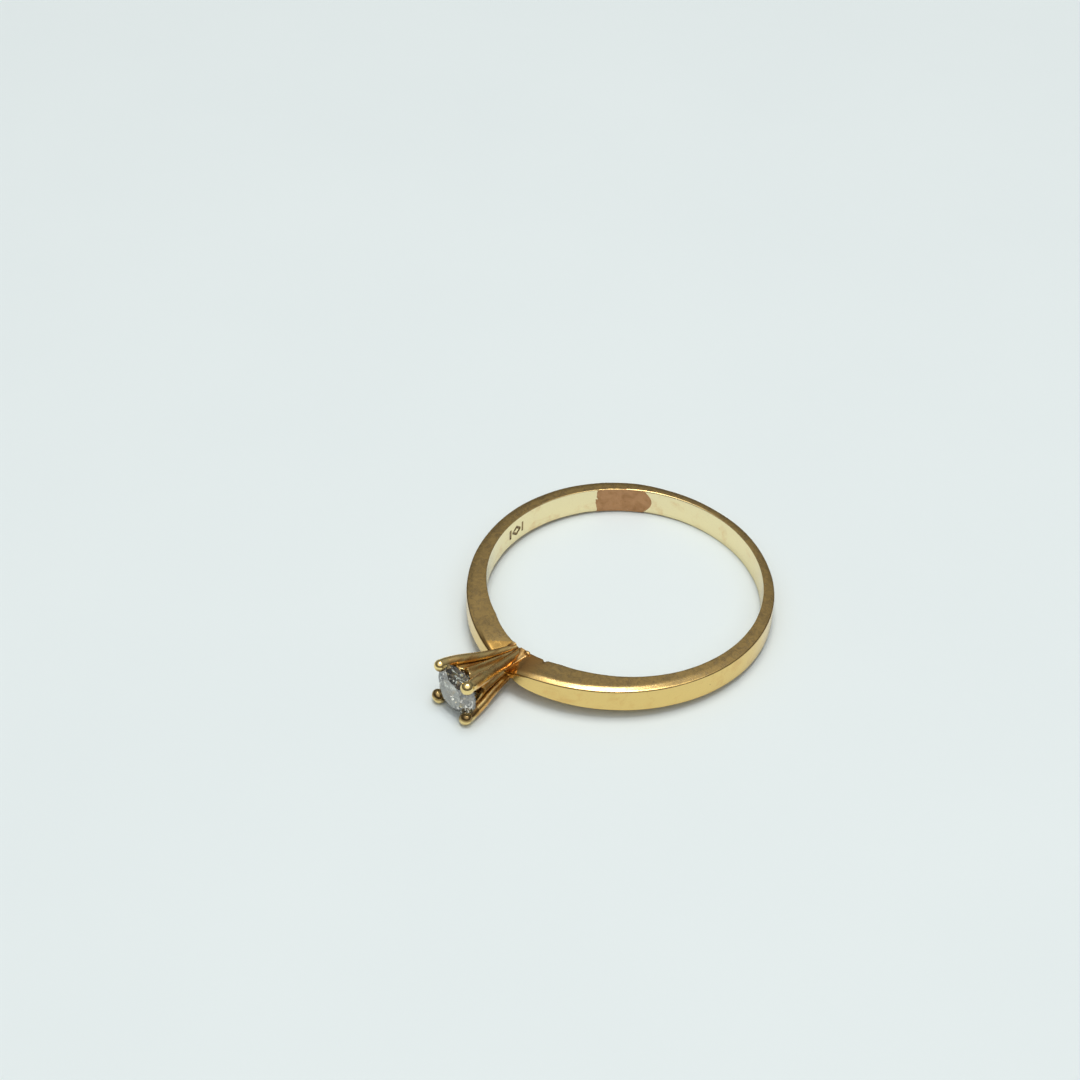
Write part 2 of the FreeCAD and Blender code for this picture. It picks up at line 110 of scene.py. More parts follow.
# Head: height above the bore wall, prong centre along the band, across it, prong radius
PRONG = [
    (0.0, 0.19, 0.50, 0.23),
    (1.0, 0.36, 0.54, 0.26),
    (2.1, 0.58, 0.67, 0.30),
    (3.2, 0.81, 0.87, 0.34),
    (4.4, 1.07, 1.13, 0.38),
    (5.48, 1.24, 1.25, 0.37),
]
BEAD_RADIUS = 0.40  # taken for the lower tips when the ring is laid down
PRONG_DEPTH, BASE_DEPTH = 0.35, 0.45  # how far both start below the bore wall
WEB_TOP, BASE_TOP, GAP_RADIUS = 3.9, 4.7, 0.55
UPPER_WEB_TOP = 4.42  # the webs above and below the stone reach higher than those at its sides
HOLLOW_FLOOR = 2.1
SOLDER_BEAD = 5.4  # degrees from the head, on the right arm
HEAD_LEAN, FOOT_DROP = 2.5, 0.18
HEAD_VOXEL = 0.03
SHARP_ANGLE = 35.0  # edges sharper than this keep their crease
SEAT_CLEARANCE = 1.004  # the seats are cut by the stone at this scale
HEAD = Matrix.Translation((0, -BORE, -FOOT_DROP)) @ Matrix.Rotation(
    math.radians(90 - HEAD_LEAN), 4, "X"
)


# ---------------------------------------------------------------- curves and sections


def smooth_between(stations, at):
    """Values between stations, on a cubic that doesn't overshoot them."""
    if at <= stations[0][0]:
        return stations[0][1:]
    if at >= stations[-1][0]:
        return stations[-1][1:]
    i = max(k for k in range(len(stations) - 1) if stations[k][0] <= at)
    x0, x1 = stations[i][0], stations[i + 1][0]
    t = (at - x0) / (x1 - x0)
    values = []
    for column in range(1, len(stations[0])):

        def slope(k):
            if k in (0, len(stations) - 1):
                return 0.0
            left = (stations[k][column] - stations[k - 1][column]) / (
                stations[k][0] - stations[k - 1][0]
            )
            right = (stations[k + 1][column] - stations[k][column]) / (
                stations[k + 1][0] - stations[k][0]
            )
            return 0.0 if left * right <= 0 else 2 * left * right / (left + right)

        y0, y1 = stations[i][column], stations[i + 1][column]
        m0, m1 = slope(i) * (x1 - x0), slope(i + 1) * (x1 - x0)
        values.append(
            y0 * (2 * t**3 - 3 * t**2 + 1)
            + m0 * (t**3 - 2 * t**2 + t)
            + y1 * (3 * t**2 - 2 * t**3)
            + m1 * (t**3 - t**2)
        )
    return tuple(values)


def rounded_outline(corners, steps=4):
    """Closed outline through (x, y, radius, points on the next side), its corners rounded."""
    points = []
    count = len(corners)
    for i, (x, y, radius, fill) in enumerate(corners):
        here = Vector((x, y))
        before = Vector(corners[i - 1][:2]) - here
        after = Vector(corners[(i + 1) % count][:2]) - here
        start = here + before.normalized() * radius
        end = here + after.normalized() * radius
        for k in range(steps + 1):
            t = k / steps
            points.append(start * (1 - t) ** 2 + here * (2 * t * (1 - t)) + end * t**2)
        far = Vector(corners[(i + 1) % count][:2])
        stop = far - after.normalized() * corners[(i + 1) % count][2]
        for k in range(1, fill + 1):
            points.append(end.lerp(stop, k / (fill + 1)))
    return points


def inner_radius(angle):
    """Bore radius at an angle, eased outwards under the head."""
    centre = -(BORE + EASING_DEPTH - EASING_RADIUS)
    a = math.radians(angle)
    across = centre * math.cos(a)
    reach = -across + math.sqrt(max(EASING_RADIUS**2 - centre**2 + across**2, 0))
    return max(BORE, reach) if abs(angle) < EASING_END else BORE


def band_outline(angle, side, grow=0.0):
    """Cross-section of the band as (radius, height) points, anticlockwise from the bore."""
    stations = RIGHT_BAND if side == "right" else LEFT_BAND
    thickness, inner, crown, outer, soft = smooth_between(stations, abs(angle))
    near, far = inner_radius(angle) - grow, BORE + thickness + grow
    inner, crown, outer = inner + grow, crown + grow, outer + grow
    ridge = min(RIDGE_ROUNDING, 0.6 * outer)
    from_seam = abs(angle - SEAM_RIGHT) - SEAM_ROUND_SPAN
    rim = RIM_ROUNDING + SEAM_ROUNDING * fade(from_seam, SEAM_ROUND_FADE)
    return rounded_outline(
        [
            (near, inner, rim, 32),
            (near, -inner, rim, 5),
            (far - soft, -crown, CROWN_ROUNDING, 3),
            (far, -outer, ridge, 10),
            (far, outer, ridge, 3),
            (far - soft, crown, CROWN_ROUNDING, 5),
        ]
    )


def on_band(angle, radius, height):
    """Point at an angle along the band."""
    a = math.radians(angle)
    return Vector((radius * math.sin(a), -radius * math.cos(a), height))


# ---------------------------------------------------------------- mesh helpers


def skin(name, rings):
    """Closed mesh over a run of point loops, capped at both ends."""
    mesh = bmesh.new()
    loops = [[mesh.verts.new(point) for point in ring] for ring in rings]
    count = len(loops[0])
    for one, two in zip(loops, loops[1:]):
        for k in range(count):
            mesh.faces.new((one[k], one[(k + 1) % count], two[(k + 1) % count], two[k]))
    mesh.faces.new(list(reversed(loops[0])))
    mesh.faces.new(loops[-1])
    bmesh.ops.recalc_face_normals(mesh, faces=mesh.faces)
    return to_object(name, mesh)


def to_object(name, mesh):
    """Object in the scene from a bmesh, which is freed."""
    data = bpy.data.meshes.new(name)
    mesh.to_mesh(data)
    mesh.free()
    piece = bpy.data.objects.new(name, data)
    bpy.context.scene.collection.objects.link(piece)
    return piece


def apply_modifiers(piece):
    """Make the modifiers' result the piece's own mesh."""
    bpy.context.view_layer.update()
    graph = bpy.context.evaluated_depsgraph_get()
    data = bpy.data.meshes.new_from_object(piece.evaluated_get(graph))
    piece.modifiers.clear()
    old = piece.data
    piece.data = data
    bpy.data.meshes.remove(old)
    return piece


def cut(piece, tool):
    """Take the tool's volume out of the piece."""
    modifier = piece.modifiers.new("cut", "BOOLEAN")
    modifier.operation = "DIFFERENCE"
    modifier.solver = "EXACT"
    modifier.object = tool
    return apply_modifiers(piece)


def melt(piece, passes):
    """Join overlapping lumps into one skin and soften its edges, like worn cast metal."""
    remesh = piece.modifiers.new("melt", "REMESH")
    remesh.mode = "VOXEL"
    remesh.voxel_size = HEAD_VOXEL
    soften = piece.modifiers.new("soften", "SMOOTH")
    soften.factor = 0.5
    soften.iterations = passes
    return apply_modifiers(piece)


def discard(*pieces):
    for piece in pieces:
        bpy.data.objects.remove(piece)


def wear(piece, amount, pitch, seed):
    """Move points along their normals by a smooth noise: the unevenness of handmade metal."""
    offset = Vector((seed * 7.3, seed * 3.1, seed * 5.7))
    moved = []
    for vertex, normal in zip(piece.data.vertices, piece.data.vertex_normals):
        wave = noise.noise(vertex.co / pitch + offset)
        moved.extend(vertex.co + normal.vector * (amount * wave))
    piece.data.vertices.foreach_set("co", moved)
    piece.data.update()
    return piece


def mark_painted_shade(piece, shade_at):
    """Store on each point how much painted shade goes there, from a function of its place in the
    head.
    """
    upright = HEAD.inverted()
    values = [shade_at(upright @ vertex.co) for vertex in piece.data.vertices]
    shade_and_dirt = piece.data.attributes.new("shade_and_dirt", "FLOAT", "POINT")
    shade_and_dirt.data.foreach_set("value", values)
    return piece


def fade(value, reach):
    """1 at zero or less, falling smoothly to 0 at the reach."""
    t = min(1.0, max(0.0, value / reach))
    return 1 - t * t * (3 - 2 * t)


def web_painted_shade(point):
    """Painted shade beside the prongs and in the hollow under the stone, for the base and the
    solder.
    """
    along, across, radius = smooth_between(PRONG, point.z)
    x, y = abs(point.x), abs(point.y)
    beside = fade(math.hypot(x - along, y - across) - radius - 0.02, 0.10)
    in_hollow = point.z > HOLLOW_FLOOR + 0.05 and x < along - 0.1 and y < across - 0.1
    return max(beside, 0.6 if in_hollow else 0.0)


def prong_painted_shade(point):
    """Painted shade along the webs and on the side of the prong that faces the stone."""
    along, across, _ = smooth_between(PRONG, point.z)
    gap_x, gap_y = abs(point.x) - along, abs(point.y) - across
    outermost, innermost = max(gap_x, gap_y), min(gap_x, gap_y)
    along_web = fade(outermost + 0.03, 0.09) * fade(point.z - WEB_TOP - 0.2, 0.6)
    stone_side = fade(innermost + 0.2, 0.25) if point.z > 3.0 else 0.0
    stone_side *= 0.8 * fade(outermost + 0.05, 0.12)
    shaded = 0.0
    if point.y < 0 and point.z > 4.6:  # painted shade on the tops of the lower tips, which dulls their highlight
        shaded = 0.8 - 0.8 * fade(point.y + across - 0.02, 0.14)
    return max(along_web, stone_side, shaded)


def dent(piece, centre, radius, push):
    """Press the points near a centre by a push vector that fades towards the radius."""
    for vertex in piece.data.vertices:
        near = 1 - (vertex.co - centre).length / radius
        if near > 0:
            vertex.co += push * (near * near * (3 - 2 * near))
    return piece


def finish_piece(piece, node, material):
    """Scale a piece to metres, dress it and let it stand for its CAD node."""
    piece.data.transform(Matrix.Scale(MM, 4))
    piece.data.materials.clear()
    piece.data.materials.append(material)
    piece.data.set_sharp_from_angle(angle=math.radians(SHARP_ANGLE))
    for face in piece.data.polygons:
        face.use_smooth = True
    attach(piece, "root")
    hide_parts(node)
    return piece


# ---------------------------------------------------------------- materials


def new_material(name):
    """Material with its node tree and its shader."""
    material = bpy.data.materials.new(name)
    material.use_nodes = True
    tree = material.node_tree
    return material, tree, tree.nodes["Principled BSDF"]


class Graph:
    """Short names for the node set-ups that the materials share."""

    def __init__(self, tree):
        self.tree = tree
        where = tree.nodes.new("ShaderNodeTexCoord")
        scale = tree.nodes.new("ShaderNodeVectorMath")
        scale.operation = "SCALE"
        scale.inputs["Scale"].default_value = 1 / MM
        tree.links.new(where.outputs["Object"], scale.inputs[0])
        self.place = scale.outputs[0]  # millimetres in the ring's frame
        self.normal = where.outputs["Normal"]

    def put(self, socket, value):
        if isinstance(value, bpy.types.NodeSocket):
            self.tree.links.new(value, socket)
        elif value is not None:
            socket.default_value = value

    def math(self, operation, one, two=None):
        node = self.tree.nodes.new("ShaderNodeMath")
        node.operation = operation
        for socket, value in zip(node.inputs, (one, two)):
            self.put(socket, value)
        return node.outputs[0]

    def axes(self, vector):
        node = self.tree.nodes.new("ShaderNodeSeparateXYZ")
        self.put(node.inputs[0], vector)
        return node.outputs

    def joined(self, x, y, z):
        node = self.tree.nodes.new("ShaderNodeCombineXYZ")
        for socket, value in zip(node.inputs, (x, y, z)):
            self.put(socket, value)
        return node.outputs[0]

    def noise(self, vector, scale, detail=3.0, roughness=0.5, distortion=0.0):
        node = self.tree.nodes.new("ShaderNodeTexNoise")
        self.put(node.inputs["Vector"], vector)
        node.inputs["Scale"].default_value = scale
        node.inputs["Detail"].default_value = detail
        node.inputs["Roughness"].default_value = roughness
        node.inputs["Distortion"].default_value = distortion
        return node.outputs["Fac"]

    def ramp(self, value, low, high, start=0.0, end=1.0):
        """Smooth step from start to end while the value goes from low to high."""
        node = self.tree.nodes.new("ShaderNodeMapRange")
        node.interpolation_type = "SMOOTHSTEP"
        for name, number in (
            ("Value", value),
            ("From Min", low),
            ("From Max", high),
            ("To Min", start),
            ("To Max", end),
        ):
            self.put(node.inputs[name], number)
        return node.outputs["Result"]

    def mix(self, factor, one, two):
        node = self.tree.nodes.new("ShaderNodeMix")
        node.data_type = "RGBA"
        self.put(node.inputs["Factor"], factor)
        sockets = [s for s in node.inputs if s.type == "RGBA"]
        for socket, value in zip(sockets, (one, two)):
            self.put(socket, value if isinstance(value, bpy.types.NodeSocket) else (*value, 1))
        return next(s for s in node.outputs if s.type == "RGBA")

    def shade_and_dirt(self):
        # Per-point darkening: painted shade in the head's grooves and hollow, and the struck
        # mark's darkening
        node = self.tree.nodes.new("ShaderNodeAttribute")
        node.attribute_name = "shade_and_dirt"
        return node.outputs["Fac"]

    def bump(self, height, distance, strength):
        node = self.tree.nodes.new("ShaderNodeBump")
        self.put(node.inputs["Height"], height)
        node.inputs["Distance"].default_value = distance
        node.inputs["Strength"].default_value = strength
        return node.outputs["Normal"]


# pale cream of the bore: a painted reflection of the floor
PALE_BORE_REFLECTION = (0.90, 0.78, 0.47)
YELLOW_GOLD = (0.84, 0.61, 0.23)
HEAD_YELLOW = (0.88, 0.58, 0.20)
PALE_GOLD_AND_HIGHLIGHT = (0.95, 0.76, 0.34)
POLISHED_ORANGE = (1.0, 0.60, 0.17)
# darker, warmer bore colour towards +X: painted shade
WARM_BORE_REFLECTION = (0.82, 0.66, 0.33)
BRONZE = (0.82, 0.56, 0.21)
SCRATCH_PALE = (0.95, 0.78, 0.45)
# dark brown of the painted reflections on rounded edges
EDGE_DARK_REFLECTION = (0.26, 0.15, 0.05)
HEAT_BROWN = (0.50, 0.23, 0.06)
TARNISH = (0.42, 0.29, 0.13)
COPPER_BLUSH_AND_SHADE = (0.66, 0.34, 0.10)
JOINT_BROWN = (0.52, 0.30, 0.10)
JOINT_GOLD = (0.82, 0.58, 0.25)
SOLDER_RED = (0.54, 0.30, 0.15)
SOLDER_BROWN = (0.42, 0.22, 0.10)
# dark brown for painted shade in grooves and hollows, also for dirt in the mark, pits and grain
GROOVE_SHADE_AND_DIRT = (0.13, 0.055, 0.015)
CLEAR_STONE = (0.82, 0.81, 0.71)
FILM_AND_REFLECTION_GREY = (0.58, 0.58, 0.50)
PAPER_DIM = (0.76, 0.83, 0.83)
PAPER_BRIGHT = (0.79, 0.86, 0.855)
GOLD_GRAIN, SOLDER_GRAIN = 0.000004, 0.000012  # depth of the bump, in metres
DIAMOND_IOR = 2.42


def polished_gold(g, x, y, normal, radius):
    """Colour of the bore, painted paler than the band's outside as a painted reflection of the
    pale floor and painted darker towards +X, with copper blushes on both.
    """
    facing = g.math("ADD", g.math("MULTIPLY", normal[0], x), g.math("MULTIPLY", normal[1], y))
    in_bore = g.ramp(g.math("DIVIDE", facing, radius), -0.3, -0.6)
    # painted reflection: the bore paler than the outside, painted darker and warmer towards +X
    bore_reflection = g.mix(g.ramp(x, 1.5, 8.5), PALE_BORE_REFLECTION, WARM_BORE_REFLECTION)
    blush = g.ramp(g.noise(g.place, 0.9, 5.0, 0.62, 0.3), 0.52, 0.72)
    polished = g.mix(in_bore, YELLOW_GOLD, bore_reflection)
    return g.mix(g.math("MULTIPLY", blush, 0.35), polished, COPPER_BLUSH_AND_SHADE)


def satin_gold(g, x, y, streaks, stains, scratches):
    """Colour of the flat sides: tarnish, scratches, a heat stain and a polished shoulder."""
    satin = g.mix(g.ramp(stains, 0.38, 0.68), BRONZE, TARNISH)
    satin = g.mix(g.math("MULTIPLY", g.ramp(streaks, 0.45, 0.7), 0.35), satin, YELLOW_GOLD)
    scratches = g.math("ABSOLUTE", g.math("SUBTRACT", scratches, 0.5))
    scratches = g.math("MULTIPLY", g.ramp(scratches, 0.012, 0.002), g.ramp(stains, 0.48, 0.6))
    satin = g.mix(g.math("MULTIPLY", scratches, 0.5), satin, SCRATCH_PALE)
    heat = g.math("MULTIPLY", g.ramp(g.math("ADD", x, stains), 3.6, 1.7), g.ramp(y, -8.2, -8.8))
    satin = g.mix(g.math("MULTIPLY", heat, g.ramp(x, 0.4, 0.8, 0.0, 0.75)), satin, HEAT_BROWN)
    edge = g.math("SUBTRACT", x, g.math("MULTIPLY", y, 0.9))
    edge = g.math("ADD", edge, g.math("MULTIPLY", g.noise(g.place, 5.0, 4.0, 0.7), 0.4))
    cleaned = g.math("MULTIPLY", g.ramp(edge, 7.66, 7.72), g.ramp(y, -6.0, -6.5))
    return g.mix(g.math("MULTIPLY", cleaned, g.ramp(x, 0.3, -0.2)), satin, POLISHED_ORANGE)


def paint_dark_edge_reflections(g, x, y, slant, radius, base):
    """Paint dark reflections on the slanting edges: all of them outside, and in the bore only
    near the head.
    """
    # painted dark reflection on the rounded edges
    edge_reflection = g.math("MULTIPLY", g.ramp(slant, 0.10, 0.35), g.ramp(slant, 0.90, 0.70))
    outside = g.ramp(radius, BORE + 0.30, BORE + 0.40)
    lines = g.math("MAXIMUM", outside, g.math("MULTIPLY", g.ramp(y, 1.0, -4.0), 0.8))
    lines = g.math("MULTIPLY", edge_reflection, lines)
    base = g.mix(g.math("MULTIPLY", lines, 0.85), base, EDGE_DARK_REFLECTION)
    # painted dark reflection along the ridges, except on the front right
    away = g.math("MAXIMUM", g.ramp(y, -2.0, 3.0), g.ramp(x, 1.0, -1.0))
    ridge = g.math("MULTIPLY", g.ramp(slant, 0.02, 0.20), g.ramp(slant, 0.95, 0.88))
    ridge = g.math("MULTIPLY", g.math("MULTIPLY", ridge, outside), away)
    return g.mix(g.math("MULTIPLY", ridge, 0.8), base, EDGE_DARK_REFLECTION)


def band_gold(name):
    """Worn gold: polished inside and out, brushed and tarnished on the band's flat sides; the
    bore painted paler and the rounded edges painted darker, as painted reflections.
    """
    material, tree, shader = new_material(name)
    g = Graph(tree)
    x, y, z = g.axes(g.place)
    normal = g.axes(g.normal)
    slant = g.math("ABSOLUTE", normal[2])
    side = g.ramp(slant, 0.75, 0.97)
    radius = g.math("SQRT", g.math("ADD", g.math("POWER", x, 2), g.math("POWER", y, 2)))
    around = g.math("MULTIPLY", g.math("ARCTAN2", x, y), 9.0)
    brushed = g.noise(g.joined(g.math("MULTIPLY", around, 0.12), radius, z), 22.0, 4.0, 0.65)
    scratches = g.noise(g.joined(g.math("MULTIPLY", around, 1.5), radius, z), 7.0, 2.0, 0.5, 0.6)
    stains = g.noise(g.place, 2.6, 6.0, 0.7, 0.8)
    polished = polished_gold(g, x, y, normal, radius)
    satin = satin_gold(g, x, y, brushed, stains, scratches)
    base = paint_dark_edge_reflections(g, x, y, slant, radius, g.mix(side, polished, satin))
    pits = g.ramp(g.noise(g.place, 2.3, 2.0, 0.4), 0.77, 0.80)
    # darkening: the struck mark (dirt with painted shade) and dark pits
    shade_and_dirt = g.math("MAXIMUM", g.shade_and_dirt(), pits)
    tree.links.new(g.mix(shade_and_dirt, base, GROOVE_SHADE_AND_DIRT), shader.inputs["Base Color"])
    rough = g.math("ADD", g.ramp(stains, 0.3, 0.8, 0.12, 0.22), g.math("MULTIPLY", side, 0.08))
    tree.links.new(rough, shader.inputs["Roughness"])
    height = g.math("ADD", g.math("MULTIPLY", brushed, side), g.noise(g.place, 6.0, 4.0, 0.6))
    tree.links.new(g.bump(height, GOLD_GRAIN, 0.6), shader.inputs["Normal"])
    shader.inputs["Metallic"].default_value = 1.0
    return material


def head_gold(name):
    """Warmer cast gold of the head, with painted shade in its grooves, painted highlights on its
    upturned faces and tips, and painted shade on faces turned to +X.
    """
    material, tree, shader = new_material(name)
    g = Graph(tree)
    x, y, z = g.axes(g.place)
    stains = g.noise(g.place, 1.7, 5.0, 0.6, 0.6)
    streaks = g.noise(g.joined(x, g.math("MULTIPLY", y, 0.15), z), 4.5, 4.0, 0.6)
    colour = g.mix(g.ramp(stains, 0.42, 0.72), HEAD_YELLOW, COPPER_BLUSH_AND_SHADE)
    # painted shade in the grooves and hollow, from the per-point values
    shade_and_dirt = g.math("MULTIPLY", g.shade_and_dirt(), g.ramp(stains, 0.25, 0.5, 0.6, 0.95))
    near_joint = g.math("MULTIPLY", g.ramp(y, -12.6, -11.2), g.ramp(x, 0.45, 0.90, 0.0, 0.85))
    colour = g.mix(near_joint, colour, HEAT_BROWN)
    nx, _, nz = g.axes(g.normal)
    # painted highlight: faces turned up are painted lighter
    colour = g.mix(g.ramp(nz, 0.55, 0.95, 0.0, 0.5), colour, PALE_GOLD_AND_HIGHLIGHT)
    # painted shade: faces turned towards +X are painted browner
    colour = g.mix(g.ramp(nx, 0.35, 0.85, 0.0, 0.5), colour, COPPER_BLUSH_AND_SHADE)
    colour = g.mix(g.ramp(streaks, 0.50, 0.62, 0.0, 0.55), colour, HEAT_BROWN)
    colour = g.mix(g.ramp(streaks, 0.46, 0.36, 0.0, 0.55), colour, PALE_GOLD_AND_HIGHLIGHT)
    tip = g.ramp(y, -13.45, -13.85)  # rubbed smooth, and painted lighter as a painted highlight
    # painted highlight on the tips
    colour = g.mix(g.math("MULTIPLY", tip, 0.8), colour, PALE_GOLD_AND_HIGHLIGHT)
    tree.links.new(g.mix(shade_and_dirt, colour, GROOVE_SHADE_AND_DIRT), shader.inputs["Base Color"])
    rough = g.ramp(stains, 0.3, 0.8, 0.22, 0.36)
    rough = g.math("SUBTRACT", rough, g.math("MULTIPLY", tip, 0.15))
    tree.links.new(rough, shader.inputs["Roughness"])
    grain = g.noise(g.place, 7.0, 4.0, 0.6)
    tree.links.new(g.bump(grain, GOLD_GRAIN, 0.6), shader.inputs["Normal"])
    shader.inputs["Metallic"].default_value = 1.0
    return material


def solder_metal(name, colour, other, roughness):
    """Dull grainy solder, with painted shade where it meets the head."""
    material, tree, shader = new_material(name)
    g = Graph(tree)
    grain = g.noise(g.place, 9.0, 6.0, 0.7, 0.4)
    patches = g.noise(g.place, 1.6, 4.0, 0.55, 0.5)
    base = g.mix(g.ramp(patches, 0.4, 0.75), colour, other)
    base = g.mix(g.ramp(grain, 0.6, 0.85, 0.0, 0.6), base, GROOVE_SHADE_AND_DIRT)
    # painted shade where the solder meets the head, from the per-point values
    base = g.mix(g.math("MULTIPLY", g.shade_and_dirt(), 0.85), base, GROOVE_SHADE_AND_DIRT)
    tree.links.new(base, shader.inputs["Base Color"])
    rough = g.ramp(grain, 0.2, 0.8, roughness - 0.08, roughness + 0.1)
    tree.links.new(rough, shader.inputs["Roughness"])
    tree.links.new(g.bump(grain, SOLDER_GRAIN, 0.8), shader.inputs["Normal"])
    shader.inputs["Metallic"].default_value = 1.0
    return material


def diamond_glass(name):
    """Clear diamond with the faint film of a worn stone; its table painted milkier and greyer,
    partly a film and partly a painted reflection of the pale floor.
    """
    material, tree, shader = new_material(name)
    g = Graph(tree)
    film = g.noise(g.place, 2.2, 5.0, 0.6, 0.4)
    table = g.ramp(g.axes(g.normal)[1], -0.97, -0.99)
    rough = g.math("ADD", g.ramp(film, 0.5, 0.8, 0.0, 0.03), g.math("MULTIPLY", table, 0.09))
    tree.links.new(rough, shader.inputs["Roughness"])
    # table painted milky grey: partly film, partly a painted reflection of the floor
    milky = g.math("MULTIPLY", table, g.ramp(film, 0.3, 0.7, 0.34, 0.44))
    tree.links.new(g.math("SUBTRACT", 0.96, milky), shader.inputs["Transmission Weight"])
    tree.links.new(g.mix(table, CLEAR_STONE, FILM_AND_REFLECTION_GREY), shader.inputs["Base Color"])
    shader.inputs["IOR"].default_value = DIAMOND_IOR
    return material


GOLD = band_gold("band_gold")
HEAD_GOLD = head_gold("head_gold")
SEAM_SOLDER = solder_metal("seam_solder", SOLDER_RED, SOLDER_BROWN, 0.5)
JOINT_SOLDER = solder_metal("joint_solder", JOINT_BROWN, JOINT_GOLD, 0.42)
DIAMOND = diamond_glass("diamond_glass")


# ---------------------------------------------------------------- band


def arm_angles(start, end):
    """Degrees of the sections along an arm, closer together where there is detail."""
    angles = [start]
    direction = 1 if end > start else -1
    while (end - angles[-1]) * direction > 1e-6:
        here = angles[-1]
        step = 1.0
        for low, high, pitch in FINE_STRETCHES:
            if low <= here <= high:
                step = pitch
        following = here + direction * step
        angles.append(end if (following - end) * direction > 0 else following)
    return angles


def build_arm(side):
    """One arm of the band, from the head to the seam."""
    sign = 1 if side == "right" else -1
    end = SEAM_RIGHT - SEAM_GAP if side == "right" else SEAM + SEAM_GAP
    rings = []
    for angle in arm_angles(sign * ARM_START, end):
        rings.append([on_band(angle, r, h) for r, h in band_outline(angle, side)])
    arm = skin(f"{side}_arm", rings)
    wear(arm, amount=0.016, pitch=2.6, seed=1.0 + sign)
    wear(arm, amount=0.006, pitch=0.9, seed=4.0 + sign)
    if side == "right":
        nick = on_band(NICK_ANGLE, inner_radius(NICK_ANGLE), NICK_HEIGHT)
        dent(arm, nick, radius=0.20, push=Vector((0.02, -0.09, -0.07)))
    strike(arm)
    return finish_piece(arm, f"shank_{side}_arm", GOLD)


def stamped(point):
    """1 where the struck mark goes, 0 elsewhere."""
    angle = math.degrees(math.atan2(point.x, -point.y))
    if math.hypot(point.x, point.y) > BORE + 0.05 or abs(angle - STAMP) > STAMP_SPAN:
        return 0.0
    along = abs(math.radians(angle - STAMP) * BORE)
    height = abs(point.z)
    lozenge = along / LOZENGE_HALF_LENGTH + height / LOZENGE_HALF_HEIGHT
    bar = max(abs(along - BAR_PLACE) / BAR_HALF_LENGTH, height / BAR_HALF_HEIGHT)
    return 1.0 if LOZENGE_OPENING < lozenge < 1.0 or bar < 1.0 else 0.0


def strike(arm):
    """Press the mark into the bore and darken its recess, dirt together with painted shade."""
    marks = [stamped(vertex.co) for vertex in arm.data.vertices]
    for vertex, mark in zip(arm.data.vertices, marks):
        vertex.co += Vector((vertex.co.x, vertex.co.y, 0)).normalized() * (STAMP_DEPTH * mark)
    shade_and_dirt = arm.data.attributes.new("shade_and_dirt", "FLOAT", "POINT")
    shade_and_dirt.data.foreach_set("value", [0.85 * mark for mark in marks])


def film_radius(angle, height):
    """Radius of the film's face: it rises out of the bore inside a ragged outline."""
    spot = Vector((height * 2.6, angle * BORE * math.pi / 180 * 2.6, 3.0))
    ragged = 1.3 * noise.noise(spot) + 0.7 * noise.noise(spot * 2.7)
    bow = (height / FILM_HALF_HEIGHT) ** 2
    from_start = (angle - FILM_START) * MM_PER_DEGREE - 0.55 * bow - 0.25
    from_end = (FILM_END - angle) * MM_PER_DEGREE - 0.62 - 0.20 * ragged
    margin = min(from_start, from_end)
    rise = FILM_RISE * max(0.0, min(1.0, margin / 0.10))
    lumps = 0.004 * noise.noise(Vector((angle * 0.8, height * 5, 1.0)))
    return BORE + FILM_BACK - rise - (lumps if rise > 0.049 else 0)


def build_film(columns=230, rows=54):
    """Thin closed shell of solder whose edges are hidden in the band."""
    film = bmesh.new()
    front = {}
    for i in range(columns + 1):
        angle = FILM_START + (FILM_END - FILM_START) * i / columns
        for j in range(rows + 1):
            height = (2 * j / rows - 1) * FILM_HALF_HEIGHT
            front[i, j] = film.verts.new(on_band(angle, film_radius(angle, height), height))
    back = {}
    for key, vertex in front.items():
        outward = Vector((vertex.co.x, vertex.co.y, 0)).normalized()
        back[key] = film.verts.new(vertex.co + outward * FILM_SHELL)
    for i in range(columns):
        for j in range(rows):
            keys = ((i, j), (i + 1, j), (i + 1, j + 1), (i, j + 1))
            film.faces.new([front[k] for k in keys])
            film.faces.new([back[k] for k in reversed(keys)])
    rim = [(i, 0) for i in range(columns)] + [(columns, j) for j in range(rows)]
    rim += [(i, rows) for i in range(columns, 0, -1)] + [(0, j) for j in range(rows, 0, -1)]
    for one, two in zip(rim, rim[1:] + rim[:1]):
        film.faces.new((front[one], back[one], back[two], front[two]))
    bmesh.ops.recalc_face_normals(film, faces=film.faces)
    return to_object("film", film)


def build_seam():
    """Solder in the sizing seam with the skin that ran out of it along the bore."""
    rings = []
    for angle in (SEAM - 0.6, SEAM, SEAM + 0.6):
        rings.append([on_band(angle, r, h) for r, h in band_outline(angle, "left", 0.002)])
    return join("sizing_seam", [skin("seam", rings), build_film()])


def join(name, pieces):
    """One mesh of several closed shells."""
    mesh = bmesh.new()
    for piece in pieces:
        mesh.from_mesh(piece.data)
    discard(*pieces)
    return to_object(name, mesh)


build_arm("left")
build_arm("right")
seam = finish_piece(build_seam(), "sizing_solder", SEAM_SOLDER)
seam.data.materials.append(GOLD)  # outside the bore the seam was polished away
for face in seam.data.polygons:
    if math.hypot(face.center.x, face.center.y) > (BORE + 0.08) * MM:
        face.material_index = 1


# ---------------------------------------------------------------- head


